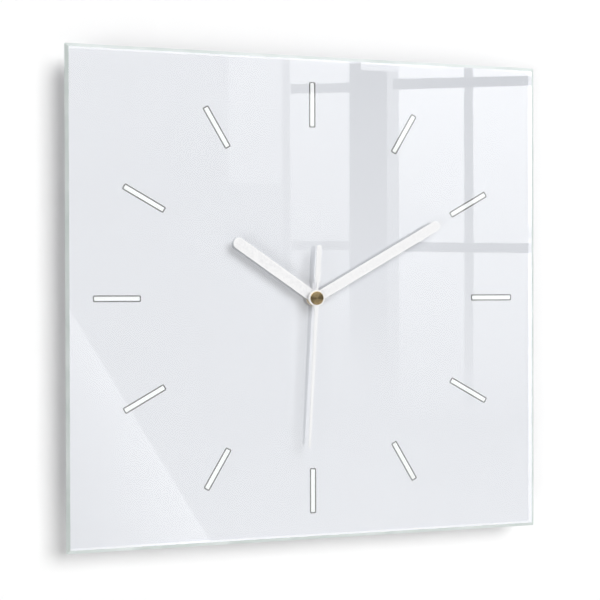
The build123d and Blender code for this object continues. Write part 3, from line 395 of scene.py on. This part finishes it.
def turned_brass(name, rough, ring_depth, brushed=0.0):
    """Brass off the lathe: rings, a slight brown tarnish in patches, bright edges."""
    material, tree = new_tree(name)
    rings = placed(tree, lathe_rings, {"Axis Z": HAND_AXIS_Z, "Pitch": 0.00012}).outputs[0]
    stain = ranged(tree, noise(tree, 0.003, 5.0, 0.65), 0.42, 0.7, 0.0, 0.7)
    wear = placed(tree, edge_wear, {"Width": 0.0002, "Amount": 0.8, "Breaks": 0.001}).outputs[0]
    tarnished = mixed(tree, stain, BRASS, BRASS_DULL)
    marks = placed(tree, handling_marks, {"Level": rough, "Spread": 0.05, "Size": 0.004})
    relief = add(tree, "ShaderNodeBump", {"Height": rings, "Strength": ring_depth,
                                          "Distance": 0.00003})
    round_axis = add(tree, "ShaderNodeTangent", direction_type="RADIAL", axis="Y")
    principled(tree, {"Base Color": mixed(tree, wear, tarnished, BRASS_BRIGHT), "Metallic": 1.0,
                      "Roughness": marks.outputs["Roughness"], "Anisotropic": brushed,
                      "Anisotropic Rotation": QUARTER_TURN, "Tangent": round_axis.outputs[0],
                      "Normal": relief.outputs[0]})
    return material


brass = turned_brass("turned_brass", 0.3, 0.35)
paint("threaded_bushing", brass)
paint("ring_nut", brass)


# ---- Movement case -----------------------------------------------------------------
# The front and rear halves of the movement are moulded in black plastic with a fine
# spark texture. The rear half has the open battery bay, and snaps over the front one.

case_plastic = moulded("case_black", (0.011, 0.011, 0.012, 1), (0.035, 0.035, 0.037, 1), 0.5,
                       pit=0.00045, depth=0.55)
paint("front_case", case_plastic)
paint("rear_case", case_plastic)
paint("train_bridge", moulded("bridge_black", (0.02, 0.02, 0.022, 1), (0.05, 0.05, 0.053, 1),
                              0.42, pit=0.0003, depth=0.25))


# ---- Circuit board, chip and crystal -----------------------------------------------
# A strip of glass-fibre board under green solder mask, with the chip under a drop of
# black epoxy and the quartz crystal in its drawn can. The can and the seconds arbor of
# the train are of the same bright steel.

board, tree = new_tree("solder_mask")
board_point = object_point(tree)
warp, weft = (add(tree, "ShaderNodeTexWave", {
    "Vector": board_point, "Scale": 900.0, "Distortion": 0.5},
    wave_type="BANDS", bands_direction=direction).outputs[1] for direction in "XZ")
cloth = reckoned(tree, "MULTIPLY", warp, weft)
tracks = add(tree, "ShaderNodeTexVoronoi", {"Vector": board_point, "Scale": 420.0},
             feature="F1", distance="CHEBYCHEV")
copper_below = ranged(tree, tracks.outputs["Distance"], 0.34, 0.36, 1.0, 0.0)
mask_green = mixed(tree, cloth, (0.012, 0.10, 0.04, 1), (0.02, 0.14, 0.055, 1))
relief = add(tree, "ShaderNodeBump", {"Height": copper_below, "Strength": 0.4,
                                      "Distance": 0.00004})
principled(tree, {"Base Color": mixed(tree, copper_below, mask_green, (0.035, 0.22, 0.07, 1)),
                  "Roughness": ranged(tree, cloth, 0, 1, 0.22, 0.34), "Coat Weight": 0.5,
                  "Coat Roughness": 0.1, "Normal": relief.outputs[0]})
paint("circuit_board", board)
paint("chip", moulded("potting_epoxy", (0.008, 0.008, 0.009, 1), (0.02, 0.02, 0.022, 1), 0.16,
                      pit=0.002, depth=0.12, clear=0.3))
can = sheet_metal("drawn_can", (0.70, 0.70, 0.71, 1), (0.55, 0.55, 0.56, 1),
                  (0.88, 0.88, 0.88, 1), 0.22)
paint("quartz_crystal", can)
paint("seconds_arbor", can)


# ---- Motor -------------------------------------------------------------------------
# A coil of enamelled copper wire on a natural plastic bobbin and an iron core turns the
# ferrite rotor magnet, which sits in the punched iron stator.

iron = sheet_metal("punched_iron", (0.40, 0.40, 0.42, 1), (0.26, 0.26, 0.28, 1),
                   (0.66, 0.66, 0.67, 1), 0.42)
paint("stator", iron)
paint("coil_core", iron)
paint("coil_bobbin", moulded("natural_plastic", (0.66, 0.62, 0.52, 1), (0.78, 0.75, 0.67, 1),
                             0.45, pit=0.0007, depth=0.12, scatter=0.1))

WIRE_PITCH = 0.00016
WAVE_LENGTH = 0.314          # how far apart the waves are at a scale of 1
wire, tree = new_tree("enamelled_wire")
turn_crests_and_shade = add(tree, "ShaderNodeTexWave", {
    "Vector": object_point(tree), "Scale": WAVE_LENGTH / WIRE_PITCH,
    "Distortion": 0.8, "Detail": 1.0}, wave_type="BANDS", bands_direction="Z").outputs[1]
relief = add(tree, "ShaderNodeBump", {"Height": turn_crests_and_shade, "Strength": 0.9, "Distance": 0.00008})
# Darker in the grooves between turns and brighter on their crests: painted shade and highlight.
copper_with_painted_shade = mixed(tree, turn_crests_and_shade, (0.30, 0.075, 0.025, 1), (0.70, 0.27, 0.11, 1))
principled(tree, {"Base Color": copper_with_painted_shade, "Metallic": 1.0,
                  "Roughness": ranged(tree, turn_crests_and_shade, 0, 1, 0.45, 0.25),
                  "Coat Weight": 0.5, "Normal": relief.outputs[0]})
paint("coil_winding", wire)

ferrite, tree = new_tree("bonded_ferrite")
crystals = add(tree, "ShaderNodeTexVoronoi", {
    "Vector": object_point(tree), "Scale": 3500.0}).outputs["Distance"]
relief = add(tree, "ShaderNodeBump", {"Height": crystals, "Strength": 0.3, "Distance": 0.00004})
principled(tree, {
    "Base Color": mixed(tree, crystals, (0.02, 0.02, 0.022, 1), (0.06, 0.06, 0.065, 1)),
    "Roughness": ranged(tree, crystals, 0, 1, 0.35, 0.6), "Metallic": 0.3,
    "Normal": relief.outputs[0]})
paint("rotor_magnet", ferrite)


# ---- Gear train --------------------------------------------------------------------
# Small wheels and pinions of natural white acetal, moulded with their arbors in one.
# They run between the front case and the bridge.

acetal = moulded("natural_acetal", (0.70, 0.68, 0.62, 1), (0.82, 0.81, 0.77, 1), 0.34,
                 pit=0.0008, depth=0.08, scatter=0.2)
for wheel in ("rotor_pinion", "fifth_wheel", "seconds_wheel", "third_wheel", "centre_wheel",
              "minute_pipe", "intermediate_wheel", "hour_wheel"):
    paint(wheel, acetal)


# ---- Battery, contacts and setting knob --------------------------------------------
# One AA cell in a plain printed sleeve with bare steel ends lies in the bay, between a
# nickel-plated strip and a sprung tongue. The red fluted knob behind sets the hands.

contact = sheet_metal("nickel_strip", (0.68, 0.66, 0.62, 1), (0.52, 0.50, 0.46, 1),
                      (0.9, 0.89, 0.86, 1), 0.25)
paint("positive_contact", contact)
paint("negative_contact", contact)

cell_low, cell_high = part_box("battery_cell")
CELL_END = 0.0016            # bare steel left at each end by the sleeve
CELL_BAND = 0.0125           # the paler band of the sleeve, at the positive end
CELL_NUB = 0.0011            # how far the positive nub stands out
sleeve, tree = new_tree("cell_sleeve")
along = add(tree, "ShaderNodeSeparateXYZ", {0: object_point(tree)}).outputs[0]
body_end = cell_high.x - CELL_NUB - CELL_END
shrunk = reckoned(tree, "MULTIPLY",
                  reckoned(tree, "GREATER_THAN", along, cell_low.x + CELL_END),
                  reckoned(tree, "LESS_THAN", along, body_end))
band = reckoned(tree, "GREATER_THAN", along, body_end - CELL_BAND)
film = noise(tree, 0.004, 4.0)
blue = mixed(tree, film, (0.010, 0.022, 0.075, 1), (0.014, 0.030, 0.095, 1))
jacket = mixed(tree, band, blue, (0.55, 0.56, 0.58, 1))
steel = mixed(tree, film, (0.55, 0.55, 0.56, 1), (0.7, 0.7, 0.71, 1))
lines = placed(tree, drawn_lines, {"Pitch": 0.0002, "Length": 0.004}).outputs[0]
relief = add(tree, "ShaderNodeBump", {"Height": lines, "Strength": 0.08, "Distance": 0.00004})
marks = placed(tree, handling_marks, {"Level": 0.24, "Spread": 0.06, "Size": 0.01})
principled(tree, {"Base Color": mixed(tree, shrunk, steel, jacket),
                  "Metallic": reckoned(tree, "SUBTRACT", 1.0, shrunk),
                  "Roughness": marks.outputs["Roughness"],
                  "Coat Weight": reckoned(tree, "MULTIPLY", shrunk, 0.6),
                  "Coat Roughness": 0.08, "Normal": relief.outputs[0]})
paint("battery_cell", sleeve)
paint("setting_knob", moulded("knob_red", (0.38, 0.018, 0.012, 1), (0.55, 0.06, 0.045, 1),
                              0.36, pit=0.0005, depth=0.2))


# ---- Hands -------------------------------------------------------------------------
# Stamped from aluminium sheet, sprayed with white lacquer over a fine tooth that shows
# as a speckle, smoother along the rolled rim, which carries a near-white painted highlight.

def lacquered_hand(name, rim):
    """White lacquer with its speckle; a smoother rim, rim metres wide, with a painted highlight."""
    material, tree = new_tree(name)
    grit = noise(tree, 0.0011, 5.0, 0.75)
    flecks = ranged(tree, grit, 0.36, 0.62, 0.0, 1.0)
    soft = add(tree, "ShaderNodeBevel", {"Radius": rim}, samples=8)
    flat = add(tree, "ShaderNodeNewGeometry")
    dot = add(tree, "ShaderNodeVectorMath", {0: soft.outputs[0], 1: flat.outputs["Normal"]},
              operation="DOT_PRODUCT")
    lean = reckoned(tree, "SUBTRACT", 1.0, dot.outputs["Value"])
    rim_and_painted_highlight = ranged(tree, lean, 0.01, 0.08, 0.0, 1.0)
    speckled = mixed(tree, flecks, (0.80, 0.80, 0.81, 1), (0.90, 0.90, 0.905, 1))
    tooth = reckoned(tree, "MULTIPLY", flecks, reckoned(tree, "SUBTRACT", 1.0, rim_and_painted_highlight))
    relief = add(tree, "ShaderNodeBump", {"Height": tooth, "Strength": 0.25, "Distance": 0.00008})
    # The near-white rim colour is a painted highlight; the rim's lower roughness is real.
    principled(tree, {"Base Color": mixed(tree, rim_and_painted_highlight, speckled, (0.98, 0.98, 0.98, 1)),
                      "Roughness": ranged(tree, rim_and_painted_highlight, 0, 1, 0.5, 0.25),
                      "Normal": relief.outputs[0]})
    return material


wide_hand = lacquered_hand("hand_lacquer", 0.0015)
paint("hour_hand", wide_hand)
paint("minute_hand", wide_hand)
paint("second_hand", lacquered_hand("needle_lacquer", 0.0009))
paint("second_hand_tube", brass)
paint("second_hand_cap", turned_brass("polished_brass", 0.48, 0.2, brushed=0.9))


# ---- Wall, floor and daylight ------------------------------------------------------
# The clock hangs on a plain white wall, lit by a window high on the right and a dimmer
# one low on the left. Flat bright shapes that only the pane mirrors stand for the first.
# From behind, the wall lets light and sight through, so that the clock's back is seen.

WALL_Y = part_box("spacer_upper_left")[1].y
WALL_REACH = 2.5
FLOOR_REACH = 4.0
FLOOR_Z = -1.4
WALL_TOP = 1.6


def flat_panel(name, corners, material):
    """A four-cornered staged plane, its front towards the side the corners go round."""
    mesh = bpy.data.meshes.new(name)
    mesh.from_pydata(corners, [], [tuple(range(len(corners)))])
    mesh.materials.append(material)
    panel = bpy.data.objects.new(name, mesh)
    bpy.context.scene.collection.objects.link(panel)
    return panel


plaster, tree = new_tree("white_wall")
grain = noise(tree, 0.004, 5.0, 0.6)
relief = add(tree, "ShaderNodeBump", {"Height": grain, "Strength": 0.02, "Distance": 0.0003})
coat = add(tree, "ShaderNodeBsdfDiffuse", {"Color": (0.97, 0.97, 0.97, 1),
                                           "Normal": relief.outputs[0]})
see_through = add(tree, "ShaderNodeBsdfTransparent")
behind = add(tree, "ShaderNodeNewGeometry").outputs["Backfacing"]
path = add(tree, "ShaderNodeLightPath")
bounces = path.outputs["Diffuse Depth"]
first_light = reckoned(tree, "MULTIPLY", path.outputs["Is Shadow Ray"],
                       reckoned(tree, "LESS_THAN", bounces, 0.5))
first_bounce = reckoned(tree, "MULTIPLY", path.outputs["Is Diffuse Ray"],
                        reckoned(tree, "LESS_THAN", bounces, 1.5))
for_the_back = reckoned(tree, "MAXIMUM", reckoned(tree, "MAXIMUM", first_light, first_bounce),
                        path.outputs["Is Glossy Ray"])
one_sided = add(tree, "ShaderNodeMixShader", {0: reckoned(tree, "MAXIMUM", behind, for_the_back),
                                              1: coat.outputs[0], 2: see_through.outputs[0]})
add(tree, "ShaderNodeOutputMaterial", {"Surface": one_sided.outputs[0]})
flat_panel("wall", [(-WALL_REACH, WALL_Y, FLOOR_Z), (WALL_REACH, WALL_Y, FLOOR_Z),
                    (WALL_REACH, WALL_Y, WALL_TOP), (-WALL_REACH, WALL_Y, WALL_TOP)], plaster)

pale, tree = new_tree("pale_floor")
speck = ranged(tree, noise(tree, 0.02, 6.0, 0.7), 0.3, 0.7, 0.0, 1.0)
principled(tree, {"Roughness": 0.7, "Base Color": mixed(
    tree, speck, (0.72, 0.72, 0.71, 1), (0.78, 0.78, 0.77, 1))})
flat_panel("floor", [(FLOOR_REACH * x, FLOOR_REACH * y, FLOOR_Z)
                     for x, y in ((-1, -1), (1, -1), (1, 1), (-1, 1))], pale)

ROOM_LIGHT = 0.19            # what the room's own brightness adds on every side
CEILING_GLOW = 2.4           # the ceiling and floor as bare metal mirrors them
ROOM_WALL_GLOW = 0.28        # and the walls of the room, which are dimmer
WALLS_END = 0.12             # how far up or down the walls reach, from 0 level to 1 upright
CEILING_FULL = 0.6           # and from where it's all ceiling or floor
world = bpy.data.worlds.new("room_light")
world.use_nodes = True
tree = world.node_tree
tree.nodes.clear()
direction = add(tree, "ShaderNodeTexCoord").outputs["Generated"]
rise = add(tree, "ShaderNodeSeparateXYZ", {0: direction}).outputs[2]
mirrored_glow = ranged(tree, reckoned(tree, "ABSOLUTE", rise), WALLS_END, CEILING_FULL,
                       ROOM_WALL_GLOW, CEILING_GLOW)
ray = add(tree, "ShaderNodeLightPath")
evenly = ranged(tree, ray.outputs["Is Camera Ray"], 0, 1, ROOM_LIGHT, 1.0)
strength = add(tree, "ShaderNodeMix", {0: ray.outputs["Is Glossy Ray"], 2: evenly,
                                       3: mirrored_glow})
air = add(tree, "ShaderNodeBackground", {"Color": (1.0, 1.0, 1.0, 1),
                                         "Strength": strength.outputs[0]})
add(tree, "ShaderNodeOutputWorld", {"Surface": air.outputs[0]})
bpy.context.scene.world = world

CLOCK_MIDDLE = Vector((0.0, -0.02, HAND_AXIS_Z))
for name, place, size, watts in (("window_light", (1.2, -2.9, 1.22), 1.8, 86.0),
                                 ("far_window_light", (-1.8, -2.2, -1.2), 1.7, 31.0),
                                 ("back_light_left", (1.3, 1.6, 0.9), 1.2, 40.0),
                                 ("back_light_right", (-1.4, 1.7, 0.5), 1.2, 26.0)):
    data = bpy.data.lights.new(name, "AREA")
    data.shape = "SQUARE"
    data.size = size
    data.energy = watts
    light = bpy.data.objects.new(name, data)
    light.location = place
    light.rotation_euler = (CLOCK_MIDDLE - Vector(place)).to_track_quat("-Z", "Y").to_euler()
    light.visible_glossy = False
    light.visible_transmission = False
    bpy.context.scene.collection.objects.link(light)

MIRRORED_Y = -1.5            # plane of the window, as far in front as the pane mirrors it
LAYER_STEP = 0.002           # how far each shape lies in front of the one before
ROOM_GLOW = 4.5              # brightness of the pale room round the window
mirrored_by = bpy.data.collections.new("mirrored_by")    # only the pane mirrors these shapes
mirrored_by.objects.link(nodes["glass_pane"])
shapes_mirrored = []


def mirrored(name, corners, start, end):
    """A flat bright shape that only the pane mirrors: the room, the window or a bar of it.

    corners are (x, z). start and end are each (x, z, brightness), and the brightness runs
    evenly from one to the other.
    """
    material, tree = new_tree(name)
    point = add(tree, "ShaderNodeSeparateXYZ", {0: object_point(tree)})
    run = Vector((end[0] - start[0], end[1] - start[1]))
    along = reckoned(tree, "ADD",
                     reckoned(tree, "MULTIPLY", point.outputs[0], run.x / run.length_squared),
                     reckoned(tree, "MULTIPLY", point.outputs[2], run.y / run.length_squared))
    begins = (start[0] * run.x + start[1] * run.y) / run.length_squared
    glow = add(tree, "ShaderNodeEmission",
               {"Strength": ranged(tree, along, begins, begins + 1, start[2], end[2])})
    add(tree, "ShaderNodeOutputMaterial", {"Surface": glow.outputs[0]})
    y = MIRRORED_Y + LAYER_STEP * (len(shapes_mirrored) + 1)
    panel = flat_panel(name, [(x, y, z) for x, z in corners], material)
    shapes_mirrored.append(panel)
    panel.visible_camera = False
    panel.visible_diffuse = False
    panel.visible_transmission = False
    panel.visible_shadow = False
    panel.light_linking.receiver_collection = mirrored_by


def upright_shape(name, left, right, low, high, low_glow, high_glow):
    """A mirrored rectangle whose brightness runs from its foot to its top."""
    mirrored(name, [(left, low), (right, low), (right, high), (left, high)],
             (0, low, low_glow), (0, high, high_glow))


WINDOW_TOP = 0.75
BARS_TOP = 0.6
upright_shape("pale_room", -0.7, 1.5, -1.1, 1.1, ROOM_GLOW, ROOM_GLOW)
upright_shape("far_left_panes", 0.209, 0.321, 0.19, WINDOW_TOP, ROOM_GLOW + 0.7, ROOM_GLOW + 1.1)
upright_shape("left_panes", 0.337, 0.468, -0.29, WINDOW_TOP, ROOM_GLOW, ROOM_GLOW + 2.1)
upright_shape("right_panes", 0.578, 1.2, -0.305, WINDOW_TOP, ROOM_GLOW + 0.2, ROOM_GLOW + 3.8)
upright_shape("pier", 0.468, 0.552, -0.23, BARS_TOP, ROOM_GLOW, ROOM_GLOW - 4.5)
upright_shape("pier_side", 0.552, 0.578, -0.23, BARS_TOP, ROOM_GLOW, ROOM_GLOW - 1.7)
upright_shape("over_pier", 0.492, 0.578, 0.435, WINDOW_TOP, ROOM_GLOW + 0.6, ROOM_GLOW + 1.0)
upright_shape("left_bar", 0.321, 0.337, -0.1, WINDOW_TOP, ROOM_GLOW - 0.2, ROOM_GLOW - 1.3)
upright_shape("right_bar", 0.726, 0.747, -0.29, BARS_TOP, ROOM_GLOW - 0.3, ROOM_GLOW - 4.5)
mirrored("top_rail", [(0.562, 0.395), (1.2, 0.443), (1.2, 0.463), (0.562, 0.418)],
         (0.56, 0, 1.0), (0.75, 0, 0.0))
mirrored("top_rail_left", [(0.337, 0.376), (0.468, 0.385), (0.468, 0.405), (0.337, 0.396)],
         (0.337, 0, 1.9), (0.468, 0, 1.3))
mirrored("low_rail", [(0.574, 0.050), (1.2, 0.046), (1.2, 0.070), (0.574, 0.070)],
         (0.574, 0, 1.7), (0.9, 0, 1.2))
mirrored("low_rail_left", [(0.337, 0.051), (0.468, 0.052), (0.468, 0.071), (0.337, 0.070)],
         (0.337, 0, 3.7), (0.468, 0, 3.3))
mirrored("pale_curtain", [(-0.1975, 0.075), (0.24, -0.675), (-0.4, -0.675), (-0.4, 0.075)],
         (0.03, -0.315, ROOM_GLOW + 1.6), (-0.19, -0.444, ROOM_GLOW - 1.2))


# ---- Camera ------------------------------------------------------------------------
# It stands a little to the left of the clock, at the height of the hands' axis, and
# looks across it to the right.

STAND = (-0.16206, -0.63318, -0.03623)
YAW = math.radians(14.05)
PITCH = math.radians(-0.447)
ROLL = math.radians(-0.124)
camera_data = bpy.data.cameras.new("camera")
camera_data.lens = 61.37
camera_data.sensor_width = 36.0
camera = bpy.data.objects.new("camera", camera_data)
camera.location = STAND
ahead = Vector((math.sin(YAW) * math.cos(PITCH), math.cos(YAW) * math.cos(PITCH),
                math.sin(PITCH)))
across = ahead.cross(Vector((0.0, 0.0, 1.0))).normalized()
upright = across.cross(ahead)
camera_right = across * math.cos(ROLL) + upright * math.sin(ROLL)
camera_up = upright * math.cos(ROLL) - across * math.sin(ROLL)
camera.rotation_mode = "QUATERNION"
camera.rotation_quaternion = Matrix((camera_right, camera_up, -ahead)).transposed().to_quaternion()
bpy.context.scene.collection.objects.link(camera)
bpy.context.scene.camera = camera
bpy.context.scene.view_settings.view_transform = "Standard"
